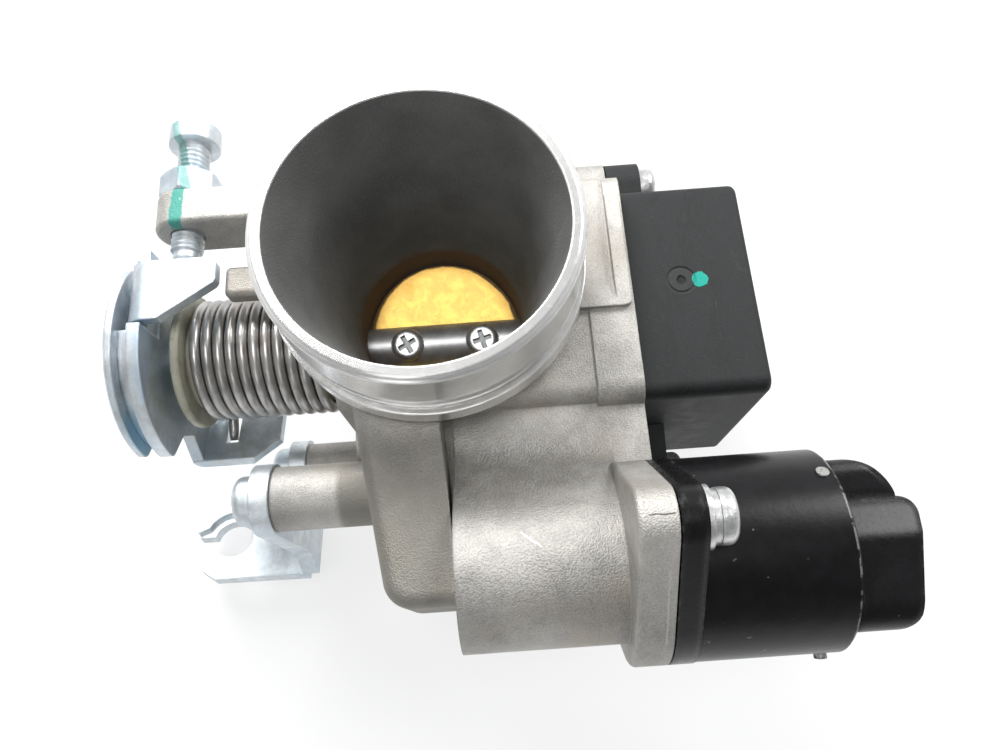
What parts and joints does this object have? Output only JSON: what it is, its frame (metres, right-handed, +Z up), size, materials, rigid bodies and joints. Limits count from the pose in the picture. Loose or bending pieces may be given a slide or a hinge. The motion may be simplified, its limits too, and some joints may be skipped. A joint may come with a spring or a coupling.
{
  "type": "throttle body",
  "caption": "Cable-operated throttle body with brass butterfly plate, return spring drum, idle stop screw, cable bracket, position sensor and idle-air valve.",
  "frame": {"origin": "centre of the engine-side spigot's end face, on the bore axis", "axes": "+Z up the bore towards the air-inlet rim, +X along the throttle shaft towards the position sensor, +Y away from the idle-air valve"},
  "size_m": [0.1343, 0.1038, 0.0862],
  "materials": {
    "cast_alu": "sand-blasted die casting, inlet rim machined",
    "shaft_steel": "ground steel",
    "brass_plate": "plain brass with light stains",
    "screw_steel": "bright steel",
    "bush_bronze": "sintered bronze",
    "seal_rubber": "moulded rubber",
    "zinc_steel": "bluish zinc plating",
    "bush_nylon": "natural nylon",
    "spring_steel": "dark spring steel",
    "sensor_plastic": "matt charcoal moulding",
    "can_black": "satin black",
    "black_gloss": "gloss black moulding",
    "copper_coil": "enamelled winding",
    "tin_pin": "tinned terminal"
  },
  "bodies": {
    "housing": {"throttle_housing": "cast_alu", "shaft_bush_left": "bush_bronze", "shaft_bush_right": "bush_bronze", "shaft_seal_left": "seal_rubber", "shaft_seal_right": "seal_rubber", "spring_bush_inner": "bush_nylon", "return_spring": "spring_steel", "idle_stop_screw": "zinc_steel", "idle_stop_locknut": "zinc_steel", "cable_bracket": "zinc_steel", "bracket_screws": "zinc_steel", "sensor_body": "sensor_plastic", "sensor_seal": "seal_rubber", "sensor_screws": "screw_steel", "sensor_terminals": "tin_pin", "valve_flange": "black_gloss", "valve_seal": "seal_rubber", "valve_can": "can_black", "valve_coil": "copper_coil", "valve_connector": "black_gloss", "valve_terminals": "tin_pin", "valve_flat_washers": "screw_steel", "valve_spring_washers": "screw_steel", "valve_screws": "screw_steel"},
    "throttle": {"throttle_shaft": "shaft_steel", "throttle_plate": "brass_plate", "plate_screws": "screw_steel", "drum_inner_plate": "zinc_steel", "drum_outer_plate": "zinc_steel", "drum_groove_ring": "zinc_steel", "drum_hub": "zinc_steel", "drum_lock_washer": "zinc_steel", "drum_nut": "zinc_steel", "spring_bush_outer": "bush_nylon", "sensor_rotor": "black_gloss"},
    "valve_rotor": {"valve_rotor": "sensor_plastic"},
    "valve_pintle": {"valve_pintle": "screw_steel"}
  },
  "joints": [
    {"name": "throttle_turn", "type": "hinge", "parent": "housing", "child": "throttle", "pos_m": [0, -0.0004, 0.0392], "axis": [1, 0, 0], "range_deg": [0, 74], "stiffness_Nm_per_rad": 0.12, "springref_deg": -34.38},
    {"name": "valve_pintle_slide", "type": "slide", "parent": "housing", "child": "valve_pintle", "axis": [1, 0, 0], "range_m": [0, 0.006]},
    {"name": "valve_rotor_turn", "type": "hinge", "parent": "housing", "child": "valve_rotor", "pos_m": [0, -0.0467, 0.0599], "axis": [1, 0, 0], "range_deg": [0, 2160]}
  ],
  "couplings": [
    {"joint": "valve_rotor_turn", "follows": "valve_pintle_slide", "rad_per_m": 6283.2}
  ]
}
